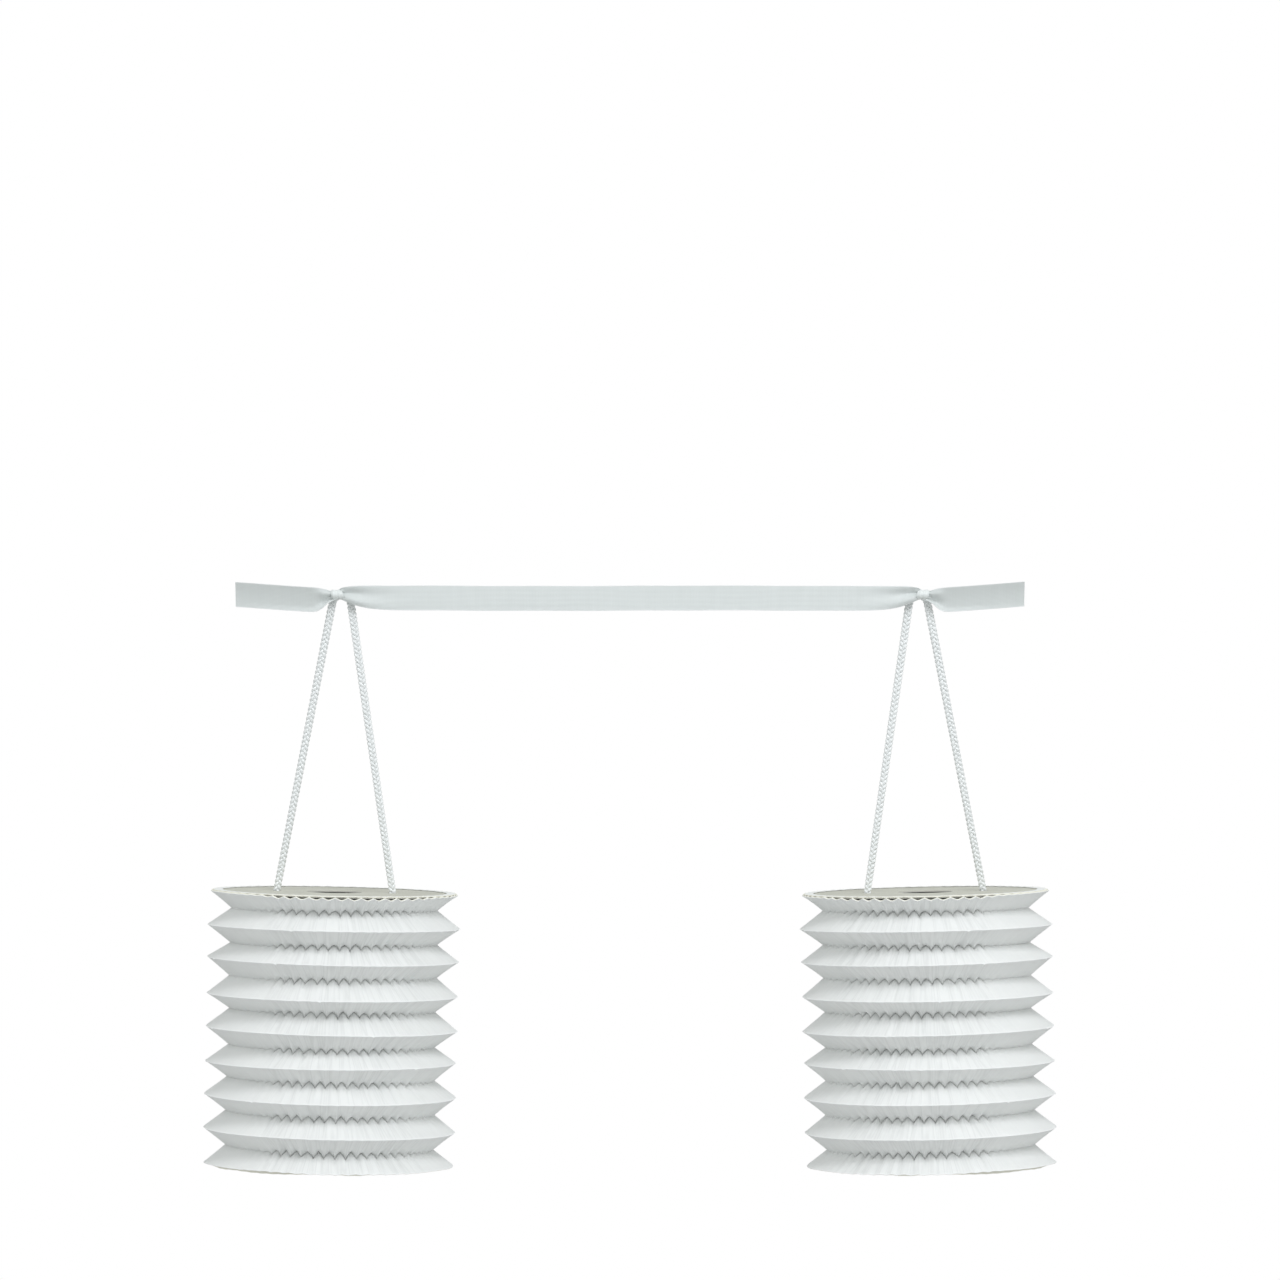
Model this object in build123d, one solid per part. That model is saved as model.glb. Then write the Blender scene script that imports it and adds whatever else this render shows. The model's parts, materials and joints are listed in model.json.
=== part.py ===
from build123d import *
from math import atan2, cos, degrees, pi, radians, sin, tan
import os

# A length of satin ribbon that carries two accordion paper lanterns on cord loops.
# The origin is on the back face of the ribbon's middle span, halfway between the lanterns.
# +X runs along the ribbon, +Y points behind it and +Z is up. Millimetres.

# Ribbon
RIBBON_WIDTH = 10.0
RIBBON_THICKNESS = 0.3
RIBBON_MID_Y = -RIBBON_THICKNESS / 2
SPAN_FLAT_X = 106.0  # where the middle span begins to gather towards a knot
NECK_INNER_X = 113.9  # the gathered neck, between the two stretches that flare out of it
NECK_OUTER_X = 121.3
NECK_Z = 0.8
NECK_RADIUS = 0.7
NECK_SQUARE = 1.2
TAIL_FLAT_X = 129.5  # where the tail is at its full width
TAIL_FLAT_Z = -0.8
TAIL_END_X = 158.5
TAIL_END_Z = 1.1

# Cord loop. Each lantern's own frame has its origin at the centre of the loop's top bend.
HANG_X = 116.0
HANG_Z = -2.8
LEAN = 1.3  # degrees, each lantern's foot towards the ribbon's nearer end
CORD_RADIUS = 1.4
CORD_ROUTE = [  # in the lantern's frame: up one taut leg, over the ribbon knot and down the other
    (-24.81, -0.22, -124.68),
    (-3.19, 3.20, 3.40),
    (3.19, 3.20, 3.40),
    (24.81, -0.22, -124.68),
]
BEND_Y = 3.2  # the loop's top lies just behind the ribbon's neck
RUN_SHARE = 0.45  # a bend takes this share of the shorter run beside it
END_KNOT_RADIUS = 2.6
END_KNOT_FROM_END = 5.4

# Ribbon knot, round the neck and round the cord's top bend
KNOT_INNER_X = 114.2
KNOT_OUTER_X = 121.0
KNOT_WALL = 0.5
NECK_CLEARANCE = 0.3
CORD_CLEARANCE = 0.4
WRAP_RADIUS = 3.5  # of the wrap's centre line, round the cord's top bend
WRAP_ANGLE = 40.0  # degrees of the bend that the wrap covers

# Lantern
RIM_DROP = 115.6  # from the cord's top bend down to the lantern's rim
LANTERN_HEIGHT = 109.3
RIDGE_RADIUS = 50.8
TOP_VALLEY_RADIUS = 40.7
BOTTOM_VALLEY_RADIUS = 42.0
PLEATS = 8
PAPER_ACROSS = 0.5  # measured level, through a sloping face
CARD_RADIUS = 48.6
CARD_THICKNESS = 0.5
CARD_INSET = 0.1
CENTRE_HOLE_RADIUS = 11.0
CORD_HOLE_RADIUS = 2.0
CORD_HOLE_X = 23.3
CARD_MID_DROP = RIM_DROP + CARD_INSET + CARD_THICKNESS / 2


def in_lantern_frame(shape, side):
    """Moves a shape from a lantern's own frame to its place, side -1 for the left and 1 for the right."""
    return Pos(side * HANG_X, 0, HANG_Z) * Rot(0, -side * LEAN, 0) * shape


def ribbon_section(x, z, width, thickness, slope=0.0):
    """A rectangle across the ribbon, at x along it and centred at height z."""
    across = Plane(
        origin=(x, RIBBON_MID_Y, z),
        x_dir=(0, 1, 0),
        z_dir=(cos(radians(slope)), 0, sin(radians(slope))),
    )
    return across * Rectangle(thickness, width)


def ribbon_side(side):
    """One knot's share of the ribbon: the gathered neck, the flares beside it and the tail."""
    slope = degrees(atan2(TAIL_END_Z - TAIL_FLAT_Z, side * (TAIL_END_X - TAIL_FLAT_X)))
    if side < 0:
        slope -= 180
    neck_length = NECK_OUTER_X - NECK_INNER_X
    neck_x = side * (NECK_OUTER_X + NECK_INNER_X) / 2
    neck = Pos(neck_x, RIBBON_MID_Y, NECK_Z) * Rot(0, 90, 0) * Cylinder(NECK_RADIUS, neck_length)
    full = RIBBON_WIDTH, RIBBON_THICKNESS
    gathered = NECK_SQUARE, NECK_SQUARE
    span_flare = loft(
        [ribbon_section(side * SPAN_FLAT_X, 0, *full), ribbon_section(side * NECK_INNER_X, NECK_Z, *gathered)]
    )
    tail_start = ribbon_section(side * TAIL_FLAT_X, TAIL_FLAT_Z, *full, slope)
    tail_flare = loft([ribbon_section(side * NECK_OUTER_X, NECK_Z, *gathered), tail_start])
    tail = loft([tail_start, ribbon_section(side * TAIL_END_X, TAIL_END_Z, *full, slope)])
    return [neck, span_flare, tail_flare, tail]


def ribbon():
    span = Pos(0, RIBBON_MID_Y, 0) * Box(2 * SPAN_FLAT_X, RIBBON_THICKNESS, RIBBON_WIDTH)
    pieces = ribbon_side(-1) + ribbon_side(1)
    return Part() + span + pieces


def ribbon_knot(side):
    """A sleeve round the ribbon's neck, joined to a wrap round the top bend of the cord."""
    length = KNOT_OUTER_X - KNOT_INNER_X
    sleeve_place = Pos(side * (KNOT_OUTER_X + KNOT_INNER_X) / 2, RIBBON_MID_Y, NECK_Z) * Rot(0, 90, 0)
    wrap_place = Pos(side * HANG_X, BEND_Y, HANG_Z) * Rot(90, 0, 0) * Rot(0, 0, 90 - WRAP_ANGLE / 2)
    neck_bore = NECK_RADIUS + NECK_CLEARANCE
    cord_bore = CORD_RADIUS + CORD_CLEARANCE
    sleeve = sleeve_place * Cylinder(neck_bore + KNOT_WALL, length)
    wrap = wrap_place * Torus(WRAP_RADIUS, cord_bore + KNOT_WALL, major_angle=WRAP_ANGLE, align=None)
    bore = wrap_place * Torus(WRAP_RADIUS, cord_bore)
    return sleeve + wrap - sleeve_place * Cylinder(neck_bore, 2 * length) - bore


def bend_radii(points):
    """The radius of each bend in a route: as large as the shorter run beside it allows."""
    radii = []
    for before, corner, after in zip(points, points[1:], points[2:]):
        turn = (corner - before).get_angle(after - corner)
        shorter = min((corner - before).length, (after - corner).length)
        radii.append(RUN_SHARE * shorter / tan(radians(turn) / 2))
    return radii


def hanging_cord():
    """One cord, up from one end knot, over the bend in the ribbon knot and down to the other."""
    points = [Vector(*point) for point in CORD_ROUTE]
    radii = bend_radii(points)
    path = FilletPolyline(*points, radius=radii)
    cord = sweep(Plane(origin=path @ 0, z_dir=path % 0) * Circle(CORD_RADIUS), path=path)
    drawn = pi * CORD_RADIUS**2 * path.length
    print("cord bend radii", [round(r, 2) for r in radii], "length", round(path.length, 1))
    print("cord volume", round(cord.volume, 1), "section times length", round(drawn, 1))
    return cord


def cord_end_knots(cord):
    """The knot near each end of the cord, under the card that it carries."""
    points = [Vector(*point) for point in CORD_ROUTE]
    knots = Part()
    for end, bend in ((points[0], points[1]), (points[-1], points[-2])):
        centre = end + (bend - end).normalized() * END_KNOT_FROM_END
        knots += Pos(*centre) * Sphere(END_KNOT_RADIUS)
    return knots - cord


def card(mid_drop):
    """A flat card ring, with its mid-plane at mid_drop below the lantern frame's origin."""
    blank = Cylinder(CARD_RADIUS, CARD_THICKNESS)
    centre_hole = Cylinder(CENTRE_HOLE_RADIUS, 2 * CARD_THICKNESS)
    return Pos(0, 0, -mid_drop) * (blank - centre_hole)


def top_card():
    whole = card(CARD_MID_DROP)
    for x in (-CORD_HOLE_X, CORD_HOLE_X):
        whole -= Pos(x, 0, -CARD_MID_DROP) * Cylinder(CORD_HOLE_RADIUS, 2 * CARD_THICKNESS)
    return whole


def bottom_card():
    return card(RIM_DROP + LANTERN_HEIGHT - CARD_INSET - CARD_THICKNESS / 2)


def bellows():
    """The pleated paper tube: a zigzag from the rim ridge to the bottom ridge, turned round the axis."""
    folds = 2 * PLEATS
    outer = []
    for fold in range(folds + 1):
        down = fold / folds
        valley = TOP_VALLEY_RADIUS + (BOTTOM_VALLEY_RADIUS - TOP_VALLEY_RADIUS) * down
        radius = valley if fold % 2 else RIDGE_RADIUS
        outer.append((radius, -RIM_DROP - LANTERN_HEIGHT * down))
    inner = [(radius - PAPER_ACROSS, z) for radius, z in reversed(outer)]
    profile = Plane.XZ * make_face(Polyline(*outer, *inner, close=True))
    return revolve(profile, Axis.Z)


def write(name, shape):
    shape.label = name
    export_step(shape, f"parts/{name}.step")


os.makedirs("parts", exist_ok=True)
write("ribbon", ribbon())
loop = hanging_cord()
lantern_pieces = {
    "hanging_cord": loop,
    "cord_end_knots": cord_end_knots(loop),
    "top_card": top_card(),
    "paper_bellows": bellows(),
    "bottom_card": bottom_card(),
}
for side, side_name in ((-1, "left"), (1, "right")):
    write(f"{side_name}_ribbon_knot", ribbon_knot(side))
    for piece_name, piece in lantern_pieces.items():
        write(f"{side_name}_{piece_name}", in_lantern_frame(piece, side))
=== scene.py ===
"""The looks of a ribbon section with two pleated paper lanterns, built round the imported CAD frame.

Metres, in the CAD frame: +X along the ribbon, +Y behind it and +Z up. The left lantern and its cord are built
in that lantern's own frame. The right lantern, cord and knot are mirror images of the left ones.
"""

import json
from math import cos, exp, pi, radians, sin

import bpy
import numpy as np
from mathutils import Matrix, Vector


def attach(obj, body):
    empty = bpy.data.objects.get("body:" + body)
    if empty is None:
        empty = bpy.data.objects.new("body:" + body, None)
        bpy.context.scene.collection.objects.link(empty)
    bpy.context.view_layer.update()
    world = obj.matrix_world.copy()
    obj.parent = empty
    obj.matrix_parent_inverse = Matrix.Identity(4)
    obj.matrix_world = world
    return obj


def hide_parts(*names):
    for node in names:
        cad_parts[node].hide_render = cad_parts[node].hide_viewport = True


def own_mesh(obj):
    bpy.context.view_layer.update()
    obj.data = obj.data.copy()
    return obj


MM = 0.001
SEED = 7

# Ribbon
RIBBON_WIDTH = 10.0 * MM
RIBBON_THICKNESS = 0.22 * MM
RIBBON_MID_Y = -0.15 * MM
RIBBON_END_X = 158.4 * MM
RIBBON_COLUMNS = 49  # points from its bottom edge to its top one
RIBBON_WANDER = ((0.10 * MM, 21 * MM, 0), (0.05 * MM, 6.3 * MM, 1))  # size, length and start of each wave
NECK_X = 117.6 * MM
NECK_HEIGHT = 3.7 * MM
NECK_BLEND = 4.0 * MM  # the stretch over which the span's shape turns into the tail's
NECK_PLEATS = 3  # fine pleats across the ribbon
NECK_PLEAT_SIZE = 0.35 * MM
FOLD_SIZE = 0.8 * MM  # of the two soft folds beside each neck
FOLD_POWER = 0.8
FOLD_FULLEST = 1.05
# An edge is pinched in by its pinch at the neck. Its settle is how far that reaches, and how sharply it ends.
SPAN_TOP_Z = 4.5 * MM
SPAN_TOP_PINCH = 1.3 * MM
SPAN_TOP_SETTLE = (3.5 * MM, 1.1)
SPAN_BOTTOM_PINCH = 5.2 * MM
SPAN_BOTTOM_SETTLE = (8.2 * MM, 1.3)
SPAN_LEAN = 1.3 * MM  # how much further forward the span's bottom edge is than its top one
SPAN_FOLD = (0.1, 0.75)  # its folds' crest and period, in widths of the ribbon
TAIL_FLAT_FROM = 15.0 * MM  # from the neck
TAIL_TOP_Z = 4.25 * MM
TAIL_RISE = 0.07
TAIL_TOP_PINCH = 1.1 * MM
TAIL_TOP_SETTLE = (5.5 * MM, 2.6)
TAIL_BOTTOM_PINCH = 5.4 * MM
TAIL_BOTTOM_SETTLE = (5.7 * MM, 2.6)
TAIL_LEAN = 2.6 * MM  # how much further forward a tail's top edge is than its bottom one
TAIL_CURL = 1.7  # 1 for a straight lean, and more for a curl near the top edge
TAIL_FOLD = (0.25, 0.8)
TAIL_LIP = 0.4 * MM  # how far a tail's bottom edge turns forward near the neck
TAIL_LIP_SETTLE = (30 * MM, 3)
TAIL_LIP_SHARE = 0.13  # of the ribbon's width

# Left ribbon knot
KNOT_CENTRE = (-118.0 * MM, 0.7 * MM, 0.85 * MM)
KNOT_WRAPS = 2.2
KNOT_START = -0.6 * pi  # where round the neck its band starts, from the back
KNOT_LENGTH = 4.4 * MM
KNOT_DEPTH = 2.3 * MM
KNOT_HEIGHT = 1.45 * MM
KNOT_BAND_WIDE = 1.3 * MM
KNOT_BAND_THICK = 0.65 * MM
KNOT_TUCKED = 0.6  # how near the neck the band's hidden ends are, against the rest of it
KNOT_TUCK_SHARE = 0.16
KNOT_CREASES = ((0.07, 5, 3.5 * MM), (0.03, 9, -2 * MM))  # size, number around, and length of a turn along
KNOT_POINTS = 180
KNOT_SIDES = 40

# Cord loop, in the lantern's frame: the route's points, and one more on each long leg near its top corner
CORD_ROUTE = [
    (-0.02481, -0.00022, -0.12468),
    (-0.00425, 0.00303, -0.00291),
    (-0.00319, 0.00320, 0.00340),
    (0.00319, 0.00320, 0.00340),
    (0.00425, 0.00303, -0.00291),
    (0.02481, -0.00022, -0.12468),
]
CORD_STEP = 0.28 * MM
PLAIT_PERIOD = 5.7 * MM
PLAIT_ACROSS = 0.88 * MM
PLAIT_DEPTH = 0.45 * MM
PLAIT_SPREAD_AT_BEND = 1.18
PLAIT_SPREAD_AT_ENDS = 0.92
STRANDS = 3
STRAND_RADIUS = 0.64 * MM
STRAND_SIDES = 10
CORE_RADIUS = 0.5 * MM
CORE_SIDES = 8
STOPPER_FROM_END = 5.4 * MM
STOPPER_AIM = 40  # points of the cord's line, over which the knot takes the cord's direction
STOPPER_SIZE = (1.9 * MM, 1.5 * MM, 1.2 * MM)  # across the cord, along it and in depth
STOPPER_STRAND_RADIUS = 0.95 * MM
STOPPER_SIDES = 12
STOPPER_POINTS = 90
STOPPER_CUT = 0.12  # what is cut off the closed knot at each of its ends, in half turns

# Lantern
RIM_DROP = 115.6 * MM
LANTERN_HEIGHT = 109.3 * MM
PLEATS = 8
RIDGE_RADIUS = 50.5 * MM
RIM_RADIUS = 50.1 * MM
TOP_VALLEY_RADIUS = 40.9 * MM
BOTTOM_VALLEY_RADIUS = 41.3 * MM
PAPER_THICKNESS = 0.22 * MM
FOLD_UNEVEN_DOWN = 0.45 * MM
FOLD_UNEVEN_OUT = 0.25 * MM
FOLD_TILT = (0.1 * MM, 0.45 * MM)  # least and most
CRIMPS = 60
CRIMP_SHARES = np.array((0, 0.11, 0.30, 0.50, 0.70, 0.89))  # columns of points across one crimp
ARM_PLACES = np.array((0, 0.06, 0.30, 0.55, 0.74, 0.86, 0.93, 0.97, 1))  # rows from a ridge to a valley
CRIMP_UNEVEN = 0.09  # how far the place of a crimp's edge varies, in crimps
CRIMP_SIZES_IN_A_FOLD = (0.85, 1.15)  # least and most, against the mean
CRIMP_SIZES_ROUND = (0.88, 1.12)  # the same, for a crimp's place round every fold
CRIMP_MIDDLE = 0.55  # the share of a crimp's height that lies below the fold's mean line
CRIMP_RISE = 2.3 * MM
CRIMP_RISE_LOWER = 0.5 * MM  # how much taller the crimps are at the lantern's foot
CRIMP_INWARD = 0.7 * MM
CRIMP_FADE_UP = 5  # how fast the crimps fade away from the valley, on the arms that face up
CRIMP_FADE_DOWN = 3.2
POINTED_AT_TOP = 0.1  # how pointed the crimps' arches are
POINTED_MORE_BELOW = 0.5
CREASE_SIZE = 0.42 * MM
CREASE_SHARED = 0.5  # the weight of the creases that run through every pleat
CREASE_OWN = 0.8  # and of those that each pleat has to itself
SLOT_DEPTH = 0.5 * MM  # how much further in the very fold of a valley lies
RIDGE_WANDER = 0.10 * MM
RIDGE_RIPPLE = 0.10 * MM
NICK_SIZE = 0.4 * MM
NICK_SHARE = 0.012
RIM_SAG = 0.30 * MM
RIM_DIP = 0.9 * MM
RIM_ROLL = 1.1 * MM  # how far the rim's edge turns in over the card
RIM_FADE = 6
FOOT_WANDER = 0.16 * MM
FOOT_RIPPLE = 0.30 * MM
# How deep the crimps are round the lantern, in degrees from its front
FRONT_CRIMPS = ((-31, 3), (53, 5))  # where they start and end, and how gradually
BACK_CRIMPS = (112, 8)
FLANK_CRIMPS = 0.3
SEAM_AT = -66
SEAM_SPREAD = 24
SEAM_FLATTENS = 0.8

# Card rings, and the paper's margins on them
CARD_RADIUS = 48.6 * MM
CARD_INSET = 0.1 * MM  # from the paper's edge to the card's outer face
HEM_INNER_RADIUS = 45.0 * MM
HEM_WIDTH = 4.0 * MM
HEM_OVERHANG = 0.3 * MM
HEM_THICKNESS = 0.1 * MM
HEM_PLACES = (0.0, 0.35, 0.7, 0.97, 1.0)  # rows from its ragged inner edge to its outer one
HEM_COLUMNS_A_CRIMP = 8
HEM_RAGGED = 0.3 * MM
HEM_LIFT = 0.12 * MM
HEM_TUCK = 0.16 * MM
HEM_TURN = 0.3 * MM  # how far its outer edge is turned back over the card's edge
FOOT_HEM_DROOP = 0.75 * MM

# Studio
FLOOR_DROP = 0.5
FLOOR_HALF = 2.1
FLOOR_TONE = 0.66
FILL_COLOUR = (0.98, 1.0, 0.985, 1)
FILL_BELOW = 0.34
FILL_ABOVE = 0.64
FILL_RISE = (-0.1, 0.6)  # the upward part of the direction, where the fill starts and stops growing
LIGHT_TARGET = (0, 0, -0.1)
KEY_PLACE = (0.6, -1.65, 1.5)
KEY_SIZE = 1.1
KEY_WATTS = 19
SIDE_PLACE = (1.75, -1.15, 1.35)
SIDE_SIZE = 1.2
SIDE_WATTS = 9
LIGHT_COLOUR = (0.95, 0.965, 1.0)
CAMERA_PLACE = (0.00402, -2.5, -0.0173)
CAMERA_LENS = 175  # millimetres, as is its sensor's width
CAMERA_SENSOR = 36

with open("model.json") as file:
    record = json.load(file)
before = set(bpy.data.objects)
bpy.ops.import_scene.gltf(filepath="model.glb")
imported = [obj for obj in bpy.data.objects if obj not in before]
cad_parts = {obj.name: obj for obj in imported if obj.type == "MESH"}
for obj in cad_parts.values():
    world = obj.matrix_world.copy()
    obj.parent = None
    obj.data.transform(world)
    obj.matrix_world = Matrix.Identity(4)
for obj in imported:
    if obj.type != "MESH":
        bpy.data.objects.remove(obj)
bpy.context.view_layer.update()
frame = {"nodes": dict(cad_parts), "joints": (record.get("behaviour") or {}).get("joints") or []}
joints = {joint["name"]: joint for joint in frame["joints"]}


# ---------------------------------------------------------------- meshes

def mesh_piece(name, points, faces, materials, **uv_maps):
    """A new mesh object. Each UV map holds one (u, v) for each point."""
    mesh = bpy.data.meshes.new(name)
    mesh.from_pydata([tuple(p) for p in points], [], [tuple(f) for f in faces])
    corner_points = np.empty(len(mesh.loops), int)
    mesh.loops.foreach_get("vertex_index", corner_points)
    for map_name, uvs in uv_maps.items():
        layer = mesh.uv_layers.new(name=map_name)
        layer.data.foreach_set("uv", np.asarray(uvs, np.float32)[corner_points].ravel())
    for material in materials:
        mesh.materials.append(material)
    piece = bpy.data.objects.new(name, mesh)
    bpy.context.scene.collection.objects.link(piece)
    return piece


def grid_faces(rows, columns, closed=False):
    """Quads between neighbouring rows of a grid. A closed grid joins its last column to its first."""
    faces = []
    for row in range(rows - 1):
        for column in range(columns if closed else columns - 1):
            right = (column + 1) % columns
            here = row * columns
            above = here + columns
            faces.append((here + column, here + right, above + right, above + column))
    return faces


def baked(piece):
    """Applies every modifier of a piece."""
    evaluated = piece.evaluated_get(bpy.context.evaluated_depsgraph_get())
    mesh = bpy.data.meshes.new_from_object(evaluated)
    piece.modifiers.clear()
    piece.data = mesh
    return piece


def thickened(piece, thickness, rim_material=0):
    """Gives a sheet its thickness, behind its face. Its cut edges take another of its materials."""
    solid = piece.modifiers.new("thickness", "SOLIDIFY")
    solid.thickness = thickness
    solid.offset = -1
    solid.material_offset_rim = rim_material
    return baked(piece)


def shade(piece, sharp_degrees=180):
    """Smooth shading, with an edge kept wherever the surface turns by more than the given angle."""
    piece.data.shade_smooth()
    piece.data.set_sharp_from_angle(angle=radians(sharp_degrees))
    return piece


def mirrored(piece, name):
    """The same piece on the other side of the ribbon's middle."""
    mesh = piece.data.copy()
    points = np.empty(len(mesh.vertices) * 3, np.float32)
    mesh.vertices.foreach_get("co", points)
    points = points.reshape(-1, 3)
    points[:, 0] *= -1
    mesh.vertices.foreach_set("co", points.ravel())
    mesh.flip_normals()
    mesh.update()
    twin = bpy.data.objects.new(name, mesh)
    bpy.context.scene.collection.objects.link(twin)
    return twin


def placed(points):
    """Points of the left lantern's own frame, in the row frame.

    That frame's origin is at the cord's top bend, with z up the lantern's axis and y to the back.
    """
    across = joints["left_tilt"]["axis"]
    up = joints["left_collapse"]["axis"]
    directions = np.array((across, (0, 1, 0), up), float)
    return np.array(joints["left_sway"]["pos_m"]) + np.asarray(points, float).reshape(-1, 3) @ directions


def distances_along(line):
    """How far along a line each of its points is."""
    return np.concatenate(([0], np.cumsum(np.linalg.norm(np.diff(line, axis=0), axis=1))))


# ---------------------------------------------------------------- materials

class Shader:
    """A material's node tree, with short ways to add nodes and link them."""

    def __init__(self, name):
        self.material = bpy.data.materials.new(name)
        self.material.use_nodes = True
        self.tree = self.material.node_tree
        self.surface = self.tree.nodes["Principled BSDF"]

    def add(self, kind, **settings):
        node = self.tree.nodes.new(kind)
        for setting, value in settings.items():
            setattr(node, setting, value)
        return node

    def link(self, output, target):
        self.tree.links.new(output, target)

    def uv(self, scale=(1, 1, 1), turn=0.0):
        """The UV map in metres, scaled and turned."""
        coordinates = self.add("ShaderNodeTexCoord")
        mapping = self.add("ShaderNodeMapping")
        mapping.inputs["Scale"].default_value = scale
        mapping.inputs["Rotation"].default_value = (0, 0, turn)
        self.link(coordinates.outputs["UV"], mapping.inputs["Vector"])
        return mapping.outputs["Vector"]

    def place(self):
        """The object's own coordinates, in metres."""
        return self.add("ShaderNodeTexCoord").outputs["Object"]

    def parts(self, vector):
        """A vector's X, Y and Z."""
        split = self.add("ShaderNodeSeparateXYZ")
        self.link(vector, split.inputs[0])
        return split.outputs["X"], split.outputs["Y"], split.outputs["Z"]

    def uv_map(self, name):
        """A named UV map of the piece, as it is. A piece without that map gives zeros."""
        return self.add("ShaderNodeUVMap", uv_map=name).outputs["UV"]

    def noise(self, vector, scale, detail=4.0, roughness=0.5):
        node = self.add("ShaderNodeTexNoise")
        node.inputs["Scale"].default_value = scale
        node.inputs["Detail"].default_value = detail
        node.inputs["Roughness"].default_value = roughness
        self.link(vector, node.inputs["Vector"])
        return node.outputs["Fac"]

    def wave(self, vector, scale, direction="X", distortion=0.0):
        node = self.add("ShaderNodeTexWave", wave_type="BANDS", bands_direction=direction)
        node.inputs["Scale"].default_value = scale
        node.inputs["Distortion"].default_value = distortion
        self.link(vector, node.inputs["Vector"])
        return node.outputs["Fac"]

    def ramp(self, value, stops):
        """Colours along a value. stops holds (position, colour)."""
        node = self.add("ShaderNodeValToRGB")
        node.color_ramp.elements[0].position, node.color_ramp.elements[0].color = stops[0]
        node.color_ramp.elements[1].position, node.color_ramp.elements[1].color = stops[-1]
        for position, colour in stops[1:-1]:
            node.color_ramp.elements.new(position).color = colour
        self.link(value, node.inputs["Fac"])
        return node.outputs["Color"]

    def math(self, operation, first, second=0.0):
        node = self.add("ShaderNodeMath", operation=operation)
        for socket, value in zip(node.inputs, (first, second)):
            if isinstance(value, (int, float)):
                socket.default_value = value
            else:
                self.link(value, socket)
        return node.outputs["Value"]

    def mix(self, share, first, second, blend="MIX"):
        node = self.add("ShaderNodeMix", data_type="RGBA", blend_type=blend)
        for socket, value in zip((node.inputs[0], node.inputs[6], node.inputs[7]), (share, first, second)):
            if isinstance(value, (int, float, tuple)):
                socket.default_value = value
            else:
                self.link(value, socket)
        return node.outputs[2]

    def bump(self, height, strength, distance, after=None):
        node = self.add("ShaderNodeBump")
        node.inputs["Strength"].default_value = strength
        node.inputs["Distance"].default_value = distance
        self.link(height, node.inputs["Height"])
        if after is not None:
            self.link(after, node.inputs["Normal"])
        return node.outputs["Normal"]

    def set(self, **values):
        """Sets or links the surface's sockets. A socket's name has _ for each space."""
        for name, value in values.items():
            socket = self.surface.inputs[name.replace("_", " ")]
            if isinstance(value, bpy.types.NodeSocket):
                self.link(value, socket)
            else:
                socket.default_value = value
        return self.material


def grey(value, warmth=0.0):
    """A near-neutral colour. Warmth above 0 leans to cream, and below 0 to blue."""
    return (value + warmth, value, value - warmth, 1.0)


def paper_material():
    """White sugar paper: matte, with fine fibres, faint clouds, pressed striations and painted crease shade.

    Painted crease shade keeps to the crimped parts; the ridges are paler, a painted highlight; the rim is
    creamy.
    """
    paper = Shader("white_paper")
    sheet = paper.uv()
    clouds = paper.noise(sheet, 60, 3)
    fibres = paper.noise(paper.uv((900, 2600, 1)), 1.0, 5, 0.65)
    striations = paper.noise(paper.uv((1500, 60, 1)), 1.0, 2)
    creases = paper.noise(paper.uv((250, 12, 1)), 1.0, 1)
    body = paper.ramp(clouds, [(0.3, (0.855, 0.870, 0.860, 1)), (0.7, (0.880, 0.892, 0.880, 1))])
    # Painted shade: thin darker lines along the creases, where shade falls in their grooves, only where the
    # sheet is crimped
    painted_crease_shade = paper.ramp(creases, [(0.40, grey(1.0)), (0.46, grey(0.91)), (0.51, grey(1.0)), (0.56, grey(0.94)),
                                (0.61, grey(1.0))])
    crimped = paper.parts(paper.uv_map("Crimped"))[0]
    body = paper.mix(crimped, body, painted_crease_shade, "MULTIPLY")
    from_ridge, fold, _ = paper.parts(paper.uv_map("Folds"))
    ridge = paper.ramp(paper.math("DIVIDE", from_ridge, 0.7 * MM), [(0.25, grey(1.0)), (1.0, grey(0.0))])
    at_rim = paper.math("MULTIPLY", ridge, paper.math("LESS_THAN", fold, 0.5))
    # Painted highlight: the paper turns paler within a fraction of a millimetre of each ridge and of a hem's
    # outer edge
    folded = paper.mix(ridge, body, (0.93, 0.94, 0.94, 1))
    tint = paper.mix(at_rim, folded, (0.90, 0.89, 0.78, 1))
    pressed = paper.bump(striations, 0.35, 0.0002)
    rough = paper.ramp(fibres, [(0.3, grey(0.55)), (0.7, grey(0.72))])
    return paper.set(
        Base_Color=tint, Roughness=rough, Specular_IOR_Level=0.35,
        Normal=paper.bump(fibres, 0.25, 0.00006, pressed),
    )


def cut_edge_material():
    """The paper's cut edge, a little creamier and rougher than its face."""
    edge = Shader("paper_cut_edge")
    fibres = edge.noise(edge.place(), 4000, 3)
    tint = edge.ramp(fibres, [(0.3, (0.86, 0.86, 0.80, 1)), (0.7, (0.92, 0.92, 0.87, 1))])
    return edge.set(Base_Color=tint, Roughness=0.8, Specular_IOR_Level=0.2,
                    Normal=edge.bump(fibres, 0.3, 0.00005))


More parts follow.
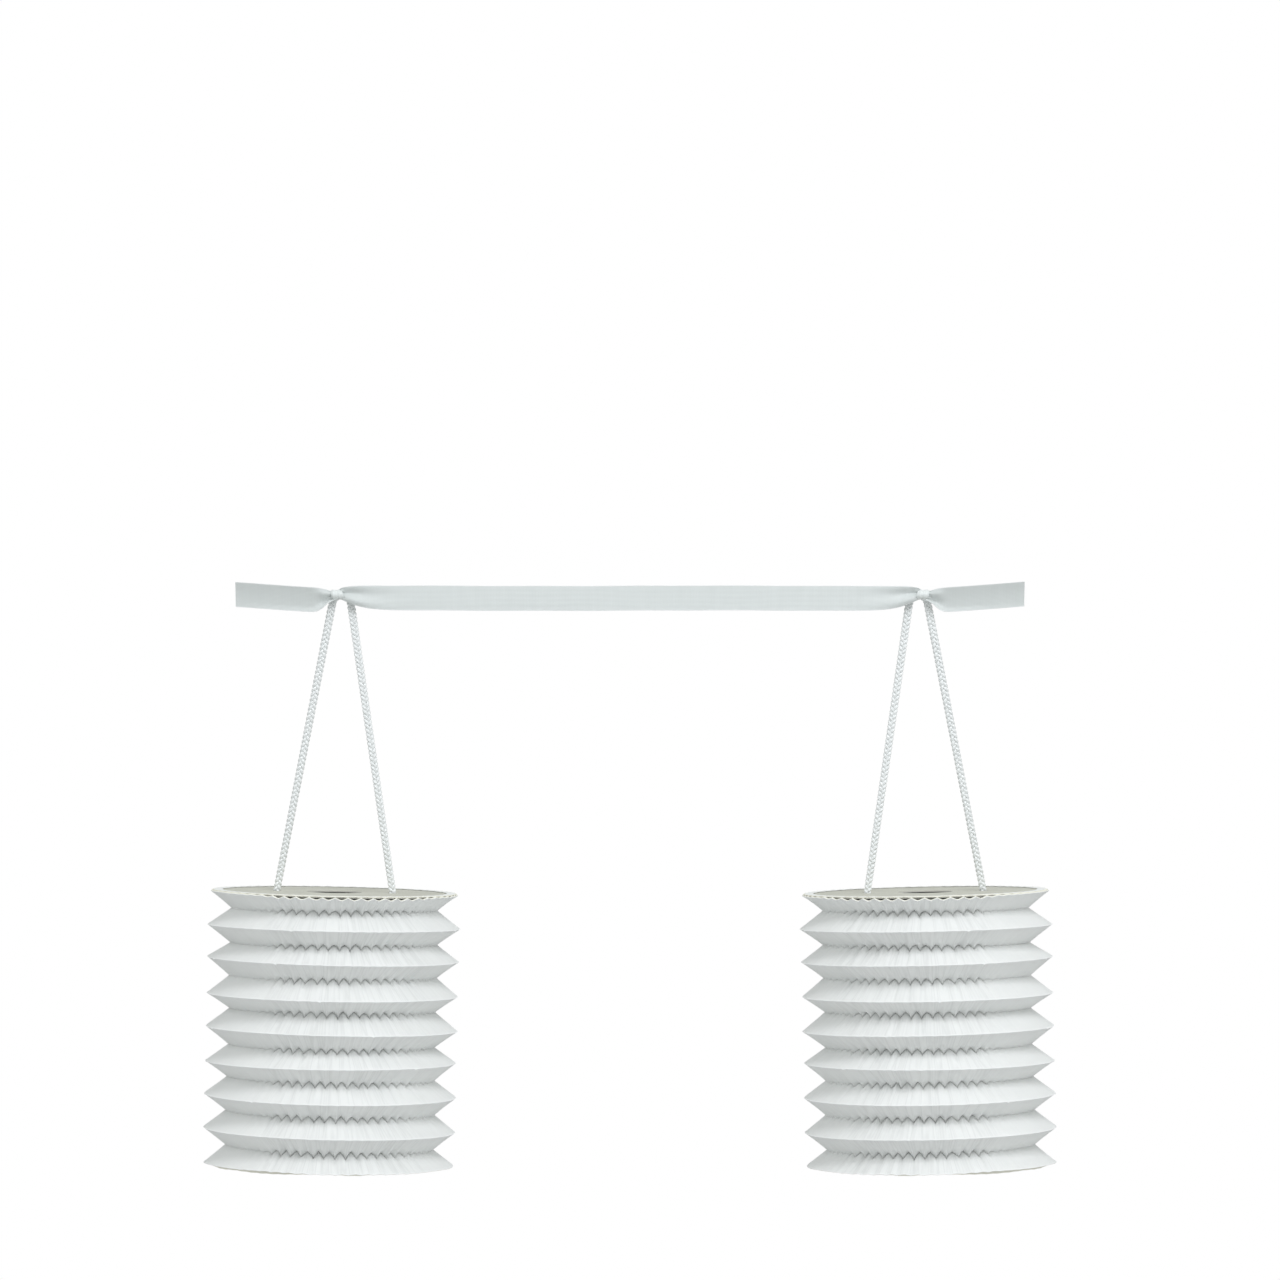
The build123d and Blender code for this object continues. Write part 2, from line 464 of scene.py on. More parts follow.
def card_material():
    """Grey chipboard, with darker and lighter flecks pressed into it and a paler cut edge."""
    card = Shader("grey_card")
    place = card.place()
    flecks = card.noise(place, 1500, 6, 0.7)
    patches = card.noise(place, 90, 2)
    tint = card.ramp(flecks, [(0.32, (0.50, 0.50, 0.43, 1)), (0.5, (0.62, 0.62, 0.55, 1)),
                              (0.68, (0.70, 0.70, 0.63, 1))])
    tone = card.ramp(patches, [(0.35, grey(0.90)), (0.65, grey(1.0))])
    facing_up = card.parts(card.add("ShaderNodeNewGeometry").outputs["Normal"])[2]
    cut = card.math("LESS_THAN", card.math("ABSOLUTE", facing_up), 0.5)
    face = card.mix(1.0, tint, tone, "MULTIPLY")
    return card.set(Base_Color=card.mix(cut, face, (0.80, 0.79, 0.72, 1)), Roughness=0.85,
                    Specular_IOR_Level=0.25, Normal=card.bump(flecks, 0.4, 0.00008))


def ribbon_material(name, tone):
    """White satin: a soft gloss along the ribbon, fine weft lines across it and a firmer selvage."""
    satin = Shader(name)
    weft = satin.wave(satin.uv(), 520, "X")
    slubs = satin.noise(satin.uv((320, 40, 1)), 1.0, 2)
    off_centre = satin.math("ABSOLUTE", satin.parts(satin.uv())[1])
    selvage = satin.math("GREATER_THAN", off_centre, RIBBON_WIDTH / 2 - 0.35 * MM)
    darker, lighter = (tone - 0.04, tone, tone - 0.01, 1), (tone - 0.02, tone + 0.02, tone + 0.01, 1)
    body = satin.ramp(slubs, [(0.3, darker), (0.7, lighter)])
    weave = satin.math("MULTIPLY_ADD", weft, 0.6)
    satin.link(slubs, weave.node.inputs[2])
    edged = satin.mix(selvage, body, (tone + 0.045, tone + 0.075, tone + 0.07, 1))
    ridge = satin.bump(satin.math("PINGPONG", off_centre, 0.25 * MM), 0.5, 0.4)
    return satin.set(
        Base_Color=edged, Roughness=0.42, Anisotropic=0.55, Specular_IOR_Level=0.55,
        Sheen_Weight=0.25, Sheen_Roughness=0.4, Normal=satin.bump(weave, 0.22, 0.00006, ridge),
    )


def cord_material(name, tone):
    """Shiny white rayon: fine filaments that run along each strand with a slight twist."""
    rayon = Shader(name)
    filaments = rayon.wave(rayon.uv(turn=0.35), 2600, "Y", 0.6)
    lint = rayon.noise(rayon.uv((300, 2500, 1)), 1.0, 3)
    darker, lighter = (tone - 0.09, tone - 0.06, tone - 0.065, 1), (tone, tone + 0.015, tone + 0.015, 1)
    tint = rayon.ramp(lint, [(0.3, darker), (0.7, lighter)])
    return rayon.set(
        Base_Color=tint, Roughness=0.32, Anisotropic=0.4, Specular_IOR_Level=0.6,
        Sheen_Weight=0.2, Normal=rayon.bump(filaments, 0.15, 0.00006),
    )


def stage_material():
    """The plain pale floor, with the faintest grain."""
    floor = Shader("pale_floor")
    grain = floor.noise(floor.place(), 40, 3)
    tint = floor.ramp(grain, [(0.3, grey(FLOOR_TONE)), (0.7, grey(FLOOR_TONE + 0.02))])
    return floor.set(Base_Color=tint, Roughness=0.9)


# ---------------------------------------------------------------- sweeps

def spline_path(points):
    """Points read from a smooth NURBS line with the given control points."""
    curve = bpy.data.curves.new("route", "CURVE")
    curve.dimensions = "3D"
    curve.resolution_u = 60
    spline = curve.splines.new("NURBS")
    spline.points.add(len(points) - 1)
    for control, point in zip(spline.points, points):
        control.co = (*point, 1.0)
    spline.order_u = 3
    spline.use_endpoint_u = True
    holder = bpy.data.objects.new("route", curve)
    mesh = bpy.data.meshes.new_from_object(holder)
    line = np.array([v.co for v in mesh.vertices], float)
    bpy.data.objects.remove(holder)
    bpy.data.curves.remove(curve)
    bpy.data.meshes.remove(mesh)
    return line


def evenly(line, step):
    """The same line with points a fixed distance apart, and the distance of each from its start."""
    lengths = distances_along(line)
    count = int(round(lengths[-1] / step)) + 1
    along = np.linspace(0, lengths[-1], count)
    return np.stack([np.interp(along, lengths, line[:, axis]) for axis in range(3)], 1), along


def turning_frames(line, side_hint):
    """Two directions across the line at each point: one near side_hint, and one at right angles."""
    tangents = np.gradient(line, axis=0)
    tangents /= np.linalg.norm(tangents, axis=1)[:, None]
    side = np.cross(tangents, side_hint)
    side /= np.linalg.norm(side, axis=1)[:, None]
    return side, np.cross(side, tangents)


def tube_mesh(line, radius, sides, side_hint, first_point=0):
    """Points, faces and UVs of a closed tube round a line."""
    across, over = turning_frames(line, side_hint)
    points, uvs = [], []
    for place, a, b, along in zip(line, across, over, distances_along(line)):
        for side in range(sides):
            turn = 2 * pi * side / sides
            points.append(place + radius * (a * cos(turn) + b * sin(turn)))
            uvs.append((along, radius * turn))
    faces = [tuple(i + first_point for i in f) for f in grid_faces(len(line), sides, closed=True)]
    last = first_point + (len(line) - 1) * sides
    faces.append(tuple(first_point + i for i in reversed(range(sides))))
    faces.append(tuple(last + i for i in range(sides)))
    return points, faces, uvs


# ---------------------------------------------------------------- cords

def cord_line():
    """The cord's own smooth line, in the row frame, and how far along it each point is."""
    return evenly(spline_path(placed(CORD_ROUTE)), CORD_STEP)


def plaited_cord(materials):
    """Three glossy strands plaited along the cord's line, round a thin centre of painted shade. Also gives
    that line.
    """
    line, along = cord_line()
    across, over = turning_frames(line, (0, 1, 0))
    from_middle = np.abs(2 * along / along[-1] - 1)
    spread = PLAIT_SPREAD_AT_BEND - (PLAIT_SPREAD_AT_BEND - PLAIT_SPREAD_AT_ENDS) * from_middle
    points, faces, uvs = tube_mesh(line, CORE_RADIUS, CORE_SIDES, (0, 1, 0))
    core_faces = len(faces)
    for strand in range(STRANDS):
        turn = 2 * pi * (along / PLAIT_PERIOD + strand / STRANDS)
        sideways = PLAIT_ACROSS * spread * np.sin(turn)
        depth = PLAIT_DEPTH * np.sin(2 * turn)
        route = line + across * sideways[:, None] + over * depth[:, None]
        strand_points, strand_faces, strand_uvs = tube_mesh(
            route, STRAND_RADIUS, STRAND_SIDES, (0, 1, 0), first_point=len(points)
        )
        points += strand_points
        faces += strand_faces
        uvs += strand_uvs
    piece = mesh_piece("left_braided_cord", points, faces, materials, UVMap=uvs)
    # The centre tube takes the darker rayon: painted shade in the gaps between the strands
    for face in piece.data.polygons[:core_faces]:
        face.material_index = 1
    return shade(piece), line


def overhand_line(centre, along, across, depth):
    """A tight overhand knot's line: a trefoil cut open, stretched along the cord that it is tied in."""
    turn = np.linspace(STOPPER_CUT * pi, (2 - STOPPER_CUT) * pi, STOPPER_POINTS)
    x = (np.sin(turn) + 2 * np.sin(2 * turn)) / 3
    y = (np.cos(turn) - 2 * np.cos(2 * turn)) / 3
    z = -np.sin(3 * turn)
    directions = np.array((across, along, depth), float)
    return centre + (np.stack((x, y, z), 1) * STOPPER_SIZE) @ directions


def stopper_knots(material, line):
    """The stopper knot near each end of the cord, under the card."""
    points, faces, uvs = [], [], []
    for end in (line, line[::-1]):
        inward = (end[STOPPER_AIM] - end[0]) / np.linalg.norm(end[STOPPER_AIM] - end[0])
        knot = overhand_line(
            end[0] + inward * STOPPER_FROM_END, inward, across=np.cross(inward, (0, 1, 0)), depth=(0, 1, 0)
        )
        tube_points, tube_faces, tube_uvs = tube_mesh(
            knot, STOPPER_STRAND_RADIUS, STOPPER_SIDES, (0.3, 1, 0.2), first_point=len(points)
        )
        points += tube_points
        faces += tube_faces
        uvs += tube_uvs
    return shade(mesh_piece("left_stopper_knots", points, faces, [material], UVMap=uvs), 60)


# ---------------------------------------------------------------- bellows

def rises(value, at, over):
    """A share that rises smoothly from 0 to 1 as a value passes a place."""
    return 1 / (1 + np.exp((at - value) / over))


def azimuth_envelope(azimuth):
    """How deep the crimps are at each azimuth: full at the front and back, shallow at the flanks and seam."""
    degrees = np.degrees(azimuth)
    front_start, front_end = FRONT_CRIMPS
    front = rises(degrees, *front_start) * (1 - rises(degrees, *front_end))
    back = rises(np.abs(degrees), *BACK_CRIMPS)
    flank = np.full_like(degrees, FLANK_CRIMPS)
    seam = 1 - SEAM_FLATTENS * np.exp(-((degrees - SEAM_AT) / SEAM_SPREAD) ** 2)
    return np.maximum.reduce((front, back, flank)) * seam


def fine_creases(random, columns):
    """A small random swell for each column, a little smoothed, that runs along the sheet."""
    rough = random.normal(0, 1, columns)
    return (rough + 0.6 * np.roll(rough, 1) + 0.6 * np.roll(rough, -1)) / 1.3


class Folds:
    """The ridges and valleys of one bellows, from the rim down: a zigzag that is nowhere quite regular."""

    def __init__(self, random):
        self.last = 2 * PLEATS
        number = np.arange(self.last + 1)
        inner = slice(1, -1)
        self.down = LANTERN_HEIGHT * number / self.last
        self.down[inner] += random.uniform(-FOLD_UNEVEN_DOWN, FOLD_UNEVEN_DOWN, self.last - 1)
        valleys = np.linspace(TOP_VALLEY_RADIUS, BOTTOM_VALLEY_RADIUS, self.last + 1)
        self.radius = np.where(number % 2, valleys, RIDGE_RADIUS)
        self.radius[inner] += random.uniform(-FOLD_UNEVEN_OUT, FOLD_UNEVEN_OUT, self.last - 1)
        self.radius[[0, -1]] = RIM_RADIUS
        self.tilt_way = random.uniform(-pi, pi, self.last + 1)
        self.tilt_size = np.zeros(self.last + 1)
        self.tilt_size[inner] = random.uniform(*FOLD_TILT, self.last - 1)

    def arm(self, fold, place):
        """The mean radius and depth at a share of the way down the arm below a fold, and the arm's length."""
        following = min(fold + 1, self.last)
        radius = self.radius[fold] + (self.radius[following] - self.radius[fold]) * place
        down = self.down[fold] + (self.down[following] - self.down[fold]) * place
        length = np.hypot(self.radius[following] - self.radius[fold], self.down[following] - self.down[fold])
        return radius, down, length

    def tilt(self, fold, place, azimuth):
        """How far the sheet drops at each azimuth, because each fold hangs a little out of level."""
        following = min(fold + 1, self.last)
        here = self.tilt_size[fold] * np.cos(azimuth - self.tilt_way[fold])
        there = self.tilt_size[following] * np.cos(azimuth - self.tilt_way[following])
        return here * (1 - place) + there * place


class Crimps:
    """The crimps round one bellows: the azimuth of each column of points, and how deep it is crimped.

    share is how far across its crimp a column is, and envelope how deep the crimps are at its azimuth.
    """

    def __init__(self, random, folds):
        starts = (np.arange(CRIMPS) + random.uniform(-CRIMP_UNEVEN, CRIMP_UNEVEN, CRIMPS)) / CRIMPS
        widths = np.append(starts[1:], starts[0] + 1) - starts
        self.number = np.repeat(np.arange(CRIMPS), len(CRIMP_SHARES))
        self.share = np.tile(CRIMP_SHARES, CRIMPS)
        self.azimuth = 2 * pi * (starts[self.number] + widths[self.number] * self.share) - pi
        self.envelope = azimuth_envelope(self.azimuth)
        of_each_fold = random.uniform(*CRIMP_SIZES_IN_A_FOLD, (folds, CRIMPS))
        self.size = of_each_fold * random.uniform(*CRIMP_SIZES_ROUND, CRIMPS)
        self.shared_creases = fine_creases(random, len(self.azimuth))
        self.own_creases = [fine_creases(random, len(self.azimuth)) for _ in range(folds)]

    def depth(self, valley, lower):
        """The crimps' depth in a valley: a sharp cusp at each crimp's edges, and an arch between them."""
        pointed = POINTED_AT_TOP + POINTED_MORE_BELOW * lower
        arch = np.abs(np.sin(pi * self.share)) ** 0.75
        point = 1 - np.abs(2 * self.share - 1)
        profile = arch * (1 - pointed) + point * pointed - CRIMP_MIDDLE
        return profile * self.envelope * self.size[valley][self.number]

    def creases(self, valley, to_valley):
        """The fine creases of an arm, fullest a little above its valley."""
        swell = CREASE_SHARED * self.shared_creases + CREASE_OWN * self.own_creases[valley]
        return swell * self.envelope * to_valley ** 0.7 * (1 - 0.7 * to_valley ** 6)

    def slot(self, to_valley):
        """How much further in the very fold of a valley lies, which is least where the crimps are shallow."""
        return SLOT_DEPTH * np.clip(self.envelope * 1.2 - 0.3, 0.05, 1) * (to_valley > 0.999)

    def rim_drop(self, place):
        """How far the rim hangs below the card: furthest at the edges of its crimps."""
        dip = (0.5 + 0.5 * np.cos(2 * pi * self.share)) ** 0.6
        near_rim = min(1, (1 - place) / (1 - ARM_PLACES[1])) ** RIM_FADE
        return (RIM_SAG + RIM_DIP * dip) * self.envelope * near_rim

    def foot_drop(self, depth):
        """How far the foot's edge wanders from level."""
        wander = np.sin(self.azimuth * 3 + 0.6) + 0.6 * np.sin(self.azimuth * 8 + 2.0)
        return FOOT_WANDER * wander - FOOT_RIPPLE * depth


def arm_places(fold, last_fold):
    """Where the rows of points stand on the arm below a fold, closest together near its valley."""
    if fold == last_fold:
        return (0.0,)
    places = 1 - ARM_PLACES[::-1] if fold % 2 else ARM_PLACES
    return places[:-1]


def paper_row(folds, crimps, random, fold, place):
    """One row of points round the paper tube, in the lantern's frame.

    Also gives the row's share of the way from its ridge to its valley.
    """
    faces_up = fold % 2 == 1
    radius, down, _ = folds.arm(fold, place)
    to_valley = 1 - place if faces_up else place
    valley = fold if faces_up else min(fold + 1, folds.last)
    lower = valley / folds.last
    azimuth = crimps.azimuth
    depth = crimps.depth(valley, lower)
    flute = depth * to_valley ** (CRIMP_FADE_UP if faces_up else CRIMP_FADE_DOWN)
    ripple = RIDGE_RIPPLE * depth * (1 - to_valley)
    wander = RIDGE_WANDER * np.sin(azimuth * 7 + fold * 1.9) * (1 - to_valley)
    creases = CREASE_SIZE * crimps.creases(valley, to_valley)
    out = radius - CRIMP_INWARD * flute - crimps.slot(to_valley) + creases + wander + ripple
    drop = down + folds.tilt(fold, place, azimuth) - (CRIMP_RISE + CRIMP_RISE_LOWER * lower) * flute - ripple
    if fold == 0:
        drop = drop + crimps.rim_drop(place)
        out = out - RIM_ROLL * (place == 0)
    if place == 0 and 0 < fold < folds.last and not faces_up:
        drop = drop + NICK_SIZE * (random.random(len(azimuth)) < NICK_SHARE)
    if fold == folds.last - 1:
        drop = drop + crimps.foot_drop(depth) * place
    if fold == folds.last:
        drop = drop + crimps.foot_drop(depth)
    return np.stack((out * np.sin(azimuth), -out * np.cos(azimuth), -RIM_DROP - drop), 1), to_valley


def bellows(materials):
    """The paper tube: eight pleats whose valleys are crimped to take up the slack of the ridges.

    Its Folds map holds each point's distance from its ridge and its fold's number, and its Crimped map how
    deep the crimps are there. Also gives the sheet's length along the pleats.
    """
    random = np.random.default_rng(SEED)
    folds = Folds(random)
    crimps = Crimps(random, folds.last + 1)
    azimuth = crimps.azimuth
    points, uvs, marks = [], [], []
    above = 0.0
    for fold in range(folds.last + 1):
        length = folds.arm(fold, 0)[2]
        for place in arm_places(fold, folds.last):
            row, to_valley = paper_row(folds, crimps, random, fold, place)
            points.append(row)
            uvs.append(np.stack((azimuth * RIDGE_RADIUS, np.full_like(azimuth, above + place * length)), 1))
            from_ridge = np.full_like(azimuth, length * to_valley)
            marks.append(np.stack((from_ridge, np.full_like(azimuth, fold + place)), 1))
        above += length
    rows = len(points)
    crimped = np.stack((np.tile(crimps.envelope, rows), np.zeros(rows * len(azimuth))), 1)
    faces = [tuple(reversed(f)) for f in grid_faces(rows, len(azimuth), closed=True)]
    piece = mesh_piece(
        "left_pleated_paper", placed(np.concatenate(points)), faces, materials,
        UVMap=np.concatenate(uvs), Folds=np.concatenate(marks), Crimped=crimped,
    )
    thickened(piece, PAPER_THICKNESS, rim_material=1)
    return shade(piece, 38), above


def hem_looseness(azimuth):
    """Where a margin has come away from its card: two long stretches and five short ones."""
    long_stretches = np.maximum(0, np.sin(azimuth * 2 + 2.6)) ** 3
    short_stretches = np.maximum(0, np.sin(azimuth * 5 + 0.3)) ** 4
    return long_stretches + 0.7 * short_stretches


def hem(name, down, outward, droop, materials):
    """The paper's margin, folded over a card's edge and pressed flat on it in small tucks.

    down is the card face's depth, and outward is 1 on the top card's upper face and -1 under the bottom card.
    droop is how far the margin has come away from the card at its outer edge.
    """
    random = np.random.default_rng(SEED + 1)
    columns = CRIMPS * HEM_COLUMNS_A_CRIMP
    azimuth = 2 * pi * np.arange(columns) / columns - pi
    tuck = np.abs(((azimuth / (2 * pi) * CRIMPS) % 1) * 2 - 1)
    ragged = np.repeat(random.uniform(-HEM_RAGGED, HEM_RAGGED, CRIMPS), HEM_COLUMNS_A_CRIMP)
    loose = hem_looseness(azimuth)
    points, uvs, marks = [], [], []
    for place in HEM_PLACES:
        width = CARD_RADIUS + HEM_OVERHANG - HEM_INNER_RADIUS
        radius = HEM_INNER_RADIUS + ragged * (1 - place) + width * place
        lift = HEM_LIFT + HEM_TUCK * tuck * (0.4 + 0.6 * place) + droop * loose * place ** 2
        if place == HEM_PLACES[-1]:
            lift = lift - HEM_TURN - 0.7 * droop * loose
        height = outward * lift - down
        points.append(np.stack((radius * np.sin(azimuth), -radius * np.cos(azimuth), height), 1))
        uvs.append(np.stack((azimuth * CARD_RADIUS, np.full_like(azimuth, place * HEM_WIDTH)), 1))
        from_edge = np.full_like(azimuth, (1 - place) * HEM_WIDTH)
        marks.append(np.stack((from_edge, np.zeros(columns)), 1))
    faces = grid_faces(len(HEM_PLACES), columns, closed=True)
    if outward < 0:
        faces = [tuple(reversed(f)) for f in faces]
    piece = mesh_piece(
        name, placed(np.concatenate(points)), faces, materials,
        UVMap=np.concatenate(uvs), Folds=np.concatenate(marks),
    )
    thickened(piece, HEM_THICKNESS, rim_material=1)
    return shade(piece, 40)


# ---------------------------------------------------------------- ribbon

def smooth_step(value):
    """0 below 0, 1 above 1 and a smooth rise between them."""
    value = np.clip(value, 0, 1)
    return value * value * (3 - 2 * value)


def settle(distance, reach, power):
    """A share that falls smoothly from 1 at no distance to 0 well past the reach."""
    return exp(-((distance / reach) ** power))


def tail_share(x):
    """0 in the span and 1 in a tail, with a smooth step at the neck between them."""
    return smooth_step(0.5 + (abs(x) - NECK_X) / NECK_BLEND)


def ribbon_edges(x):
    """The heights of the ribbon's top and bottom edges at x: pinched at a neck and full width elsewhere."""
    out = abs(x) - NECK_X
    within, past = max(0, -out), max(0, out)
    span_top = SPAN_TOP_Z - SPAN_TOP_PINCH * settle(within, *SPAN_TOP_SETTLE)
    span_bottom = SPAN_TOP_Z - RIBBON_WIDTH + SPAN_BOTTOM_PINCH * settle(within, *SPAN_BOTTOM_SETTLE)
    level = TAIL_TOP_Z + TAIL_RISE * (past - TAIL_FLAT_FROM)
    tail_top = level - TAIL_TOP_PINCH * settle(past, *TAIL_TOP_SETTLE)
    tail_bottom = level - RIBBON_WIDTH + TAIL_BOTTOM_PINCH * settle(past, *TAIL_BOTTOM_SETTLE)
    share = tail_share(x)
    return span_top + (tail_top - span_top) * share, span_bottom + (tail_bottom - span_bottom) * share


def soft_folds(across, crest, period):
    """Waves across the ribbon, with a crest at the given place."""
    return np.cos(2 * pi * (across - crest) / period)


def ribbon_depth(x, across, open_share):
    """How far the ribbon's surface stands behind its middle, at each place across it.

    across runs from -0.5 at the bottom edge to 0.5 at the top one. The span leans back at the top, and the
    tails curl forward at the top. Beside each neck the ribbon is rolled into two soft folds, and at the neck
    it is gathered into fine pleats.
    """
    gathered = 1 - open_share
    fold_size = FOLD_SIZE * sin(pi * min(1, gathered * FOLD_FULLEST)) ** FOLD_POWER
    pleats = NECK_PLEAT_SIZE * gathered ** 3 * np.sin(2 * pi * NECK_PLEATS * across + 0.7)
    span = SPAN_LEAN * (across - 0.5) * open_share + fold_size * soft_folds(across, *SPAN_FOLD)
    curl = -TAIL_LEAN * (across + 0.5) ** TAIL_CURL * open_share
    lip = -TAIL_LIP * settle(abs(abs(x) - NECK_X), *TAIL_LIP_SETTLE)
    lip = lip * np.exp(-(((across + 0.5) / TAIL_LIP_SHARE) ** 2))
    tail = curl + lip - fold_size * soft_folds(across, *TAIL_FOLD)
    return pleats + span + (tail - span) * tail_share(x)


def ribbon_stations():
    """The places along the ribbon where its width is drawn, closest together near the necks."""
    tail = np.linspace(-RIBBON_END_X, -132 * MM, 40)
    neck = np.linspace(-131.7 * MM, -100 * MM, 160)
    beside = np.linspace(-99 * MM, -91 * MM, 8)
    middle = np.arange(-90, 90.1, 1.5) * MM
    left = np.concatenate((tail, neck, beside))
    return np.concatenate((left, middle, -left[::-1]))


def ribbon(materials):
    """The whole ribbon: flat between the knots and in the tails, gathered into folds at each neck."""
    stations = ribbon_stations()
    across = np.linspace(-0.5, 0.5, RIBBON_COLUMNS)
    points, uvs = [], []
    for x in stations:
        top, bottom = ribbon_edges(x)
        open_share = np.clip((top - bottom - NECK_HEIGHT) / (RIBBON_WIDTH - NECK_HEIGHT), 0, 1)
        wander = sum(size * sin(x / length + start) for size, length, start in RIBBON_WANDER)
        y = RIBBON_MID_Y + ribbon_depth(x, across, open_share)
        z = (top + bottom) / 2 + wander * open_share + across * (top - bottom)
        points.append(np.stack((np.full_like(across, x), y, z), 1))
        uvs.append(np.stack((np.full_like(across, x), across * RIBBON_WIDTH), 1))
    faces = grid_faces(len(stations), RIBBON_COLUMNS)
    piece = mesh_piece("satin_ribbon", np.concatenate(points), faces, materials, UVMap=np.concatenate(uvs))
    thickened(piece, RIBBON_THICKNESS)
    return shade(piece, 50)


def ribbon_knot(materials):
    """The knot in the gathered ribbon: a creased band wound just over twice round it, its ends tucked in."""
    share = np.linspace(0, 1, KNOT_POINTS)
    turn = KNOT_START + 2 * pi * KNOT_WRAPS * share
    radial = np.stack((np.zeros_like(turn), np.cos(turn), np.sin(turn)), 1)
    from_end = np.minimum(share, 1 - share)
    tucked = KNOT_TUCKED + (1 - KNOT_TUCKED) * smooth_step(from_end / KNOT_TUCK_SHARE)
    line = np.array(KNOT_CENTRE) + radial * np.array((0, KNOT_DEPTH, KNOT_HEIGHT)) * tucked[:, None]
    line[:, 0] += KNOT_LENGTH * (share - 0.5)
    across, over = turning_frames(line, radial)
    around = 2 * pi * np.arange(KNOT_SIDES) / KNOT_SIDES
    over_width = (around / (2 * pi) - 0.5) * RIBBON_WIDTH
    points, uvs = [], []
    for place, a, b, along in zip(line, across, over, distances_along(line)):
        creases = np.ones(KNOT_SIDES)
        for size, number, length in KNOT_CREASES:
            creases += size * np.sin(number * around + along / length)
        wide = KNOT_BAND_WIDE * creases * np.cos(around)
        thick = KNOT_BAND_THICK * creases * np.sin(around)
        points.append(place + np.outer(wide, a) + np.outer(thick, b))
        uvs.append(np.stack((np.full(KNOT_SIDES, along), over_width), 1))
    faces = grid_faces(KNOT_POINTS, KNOT_SIDES, closed=True)
    faces.append(tuple(reversed(range(KNOT_SIDES))))
    faces.append(tuple(range((KNOT_POINTS - 1) * KNOT_SIDES, KNOT_POINTS * KNOT_SIDES)))
    piece = mesh_piece("left_satin_knot", np.concatenate(points), faces, materials, UVMap=np.concatenate(uvs))
    return shade(piece, 60)


# ---------------------------------------------------------------- assembly

paper, cut_edge, card = paper_material(), cut_edge_material(), card_material()
# The knot's satin is the ribbon's made lighter: painted sheen for the gloss on its gathered folds
satin, knot_satin_painted_sheen = ribbon_material("white_satin", 0.74), ribbon_material("knotted_satin", 0.86)
# The cord's centre tube is a darker rayon, painted shade between its strands
rayon, painted_shade_core = cord_material("white_rayon", 0.93), cord_material("rayon_core", 0.85)

cord_piece, cord_centres = plaited_cord([rayon, painted_shade_core])
paper_piece, sheet_length = bellows([paper, cut_edge])
top_face = RIM_DROP + CARD_INSET
bottom_face = RIM_DROP + LANTERN_HEIGHT - CARD_INSET
left_pieces = {
    "cord": cord_piece,
    "stoppers": stopper_knots(rayon, cord_centres),
    "paper": paper_piece,
    "hem": hem("left_top_hem", top_face, 1, 0, [paper, cut_edge]),
    "foot_hem": hem("left_bottom_hem", bottom_face, -1, FOOT_HEM_DROOP, [paper, cut_edge]),
    "knot": ribbon_knot([knot_satin_painted_sheen]),
}
full_ribbon = ribbon([satin])
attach(full_ribbon, "ribbon")
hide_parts("ribbon")

for side, name in ((-1, "left"), (1, "right")):
    pieces = left_pieces
    if side > 0:
        pieces = {key: mirrored(left, left.name.replace("left", name)) for key, left in left_pieces.items()}
    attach(pieces["cord"], f"{name}_hanger")
    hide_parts(f"{name}_hanging_cord")
    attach(pieces["stoppers"], f"{name}_hanger")
    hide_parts(f"{name}_cord_end_knots")
    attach(pieces["knot"], f"{name}_knot")
    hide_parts(f"{name}_ribbon_knot")
    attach(pieces["hem"], f"{name}_lantern")
    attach(pieces["foot_hem"], f"{name}_base")
    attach(pieces["paper"], f"{name}_lantern")
    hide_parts(f"{name}_paper_bellows")
    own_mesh(pieces["paper"])
    for card_name in ("top_card", "bottom_card"):
        node = frame["nodes"][f"{name}_{card_name}"]
        node.data.materials.clear()
        node.data.materials.append(card)


# ---------------------------------------------------------------- stage, light and camera

def floor():
    """A pale floor below the hanging lanterns."""
    half, down = FLOOR_HALF, FLOOR_DROP
    corners = [(-half, -half, -down), (half, -half, -down), (half, half, -down), (-half, half, -down)]
    piece = mesh_piece("floor", corners, [(0, 1, 2, 3)], [stage_material()])


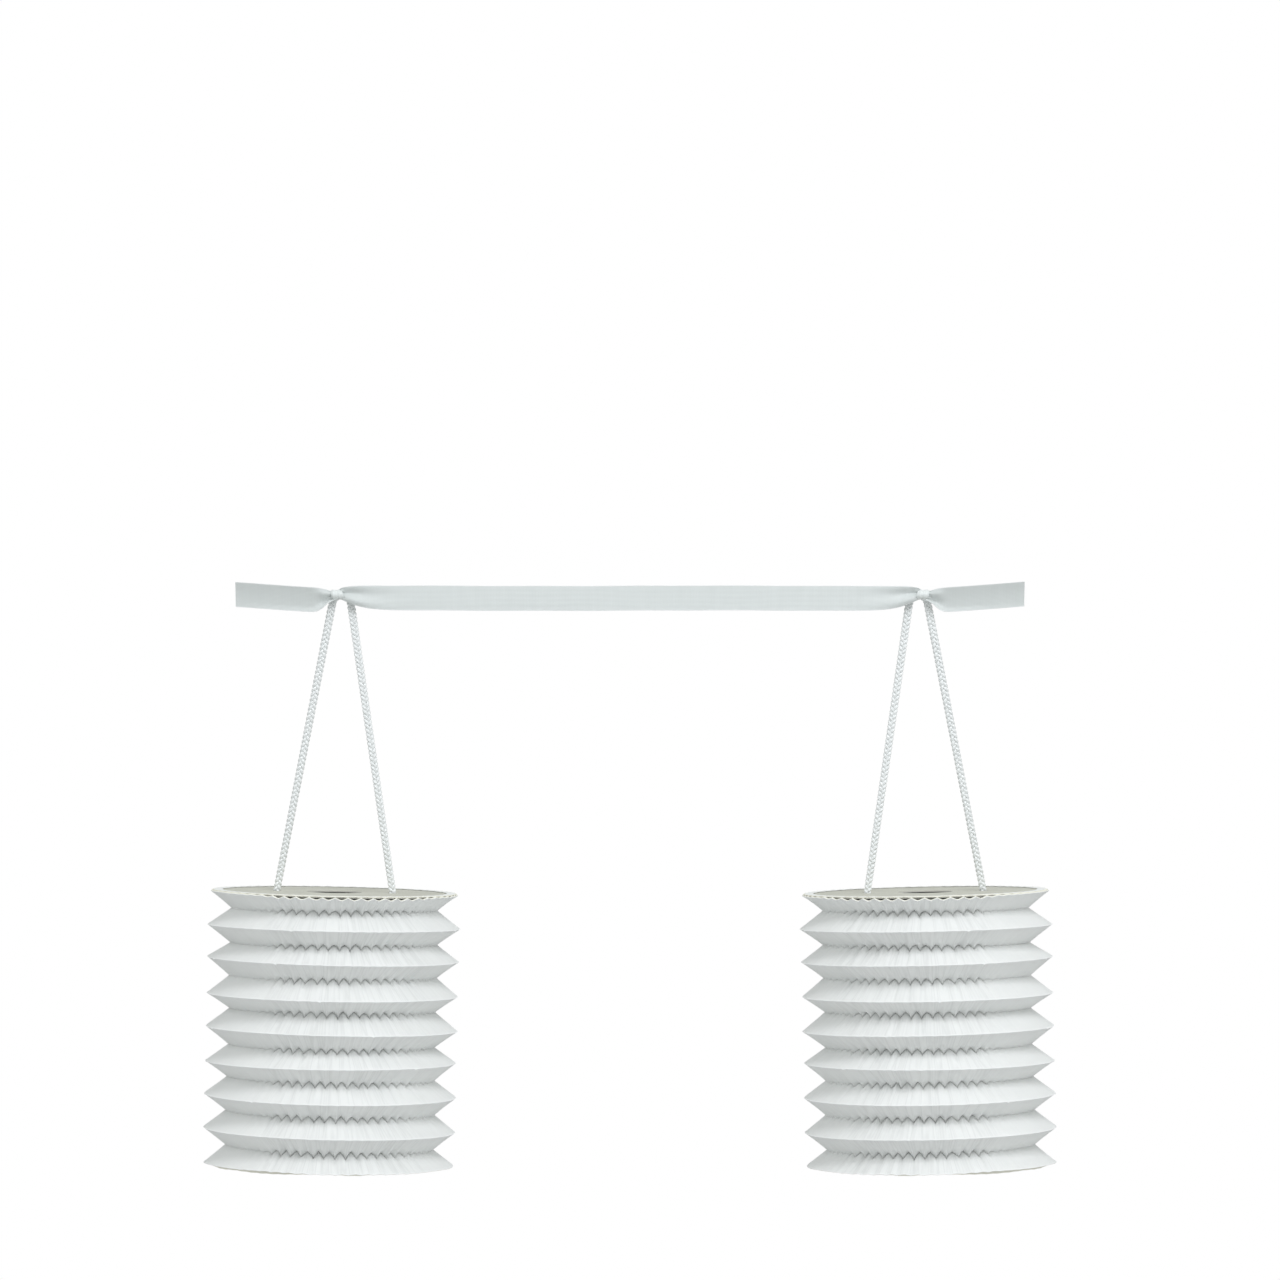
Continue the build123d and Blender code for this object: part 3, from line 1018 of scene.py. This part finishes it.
def area_light(name, place, size, watts):
    """A round softbox, aimed at the middle of the lanterns."""
    data = bpy.data.lights.new(name, "AREA")
    data.shape = "DISK"
    data.size = size
    data.energy = watts
    data.color = LIGHT_COLOUR
    light = bpy.data.objects.new(name, data)
    light.location = place
    light.rotation_euler = (Vector(LIGHT_TARGET) - Vector(place)).to_track_quat("-Z", "Y").to_euler()
    bpy.context.scene.collection.objects.link(light)


def surround():
    """A surround that the camera sees white. Its light on the object is dimmer, and dimmest from below."""
    world = bpy.data.worlds.new("studio")
    world.use_nodes = True
    nodes, links = world.node_tree.nodes, world.node_tree.links
    fill = nodes["Background"]
    fill.inputs["Color"].default_value = FILL_COLOUR
    direction = nodes.new("ShaderNodeTexCoord")
    split = nodes.new("ShaderNodeSeparateXYZ")
    height = nodes.new("ShaderNodeMapRange")
    height.inputs["From Min"].default_value, height.inputs["From Max"].default_value = FILL_RISE
    height.inputs["To Min"].default_value = FILL_BELOW
    height.inputs["To Max"].default_value = FILL_ABOVE
    links.new(direction.outputs["Generated"], split.inputs[0])
    links.new(split.outputs["Z"], height.inputs["Value"])
    links.new(height.outputs["Result"], fill.inputs["Strength"])
    backdrop = nodes.new("ShaderNodeBackground")
    backdrop.inputs["Color"].default_value = (1, 1, 1, 1)
    seen = nodes.new("ShaderNodeLightPath")
    either = nodes.new("ShaderNodeMixShader")
    links.new(seen.outputs["Is Camera Ray"], either.inputs[0])
    links.new(fill.outputs[0], either.inputs[1])
    links.new(backdrop.outputs[0], either.inputs[2])
    links.new(either.outputs[0], nodes["World Output"].inputs[0])
    bpy.context.scene.world = world


def lights():
    """A high broad key light in front, and a weaker one on each side."""
    area_light("key", KEY_PLACE, KEY_SIZE, KEY_WATTS)
    for side, name in ((-1, "left_side"), (1, "right_side")):
        area_light(name, (side * SIDE_PLACE[0], *SIDE_PLACE[1:]), SIDE_SIZE, SIDE_WATTS)


def camera():
    """The product view: level with the middle of the section, from well back."""
    data = bpy.data.cameras.new("camera")
    data.lens = CAMERA_LENS
    data.sensor_width = CAMERA_SENSOR
    viewer = bpy.data.objects.new("camera", data)
    viewer.location = CAMERA_PLACE
    viewer.rotation_euler = (pi / 2, 0, 0)
    bpy.context.scene.collection.objects.link(viewer)
    bpy.context.scene.camera = viewer


bpy.context.scene.view_settings.view_transform = "Standard"
floor()
surround()
lights()
camera()
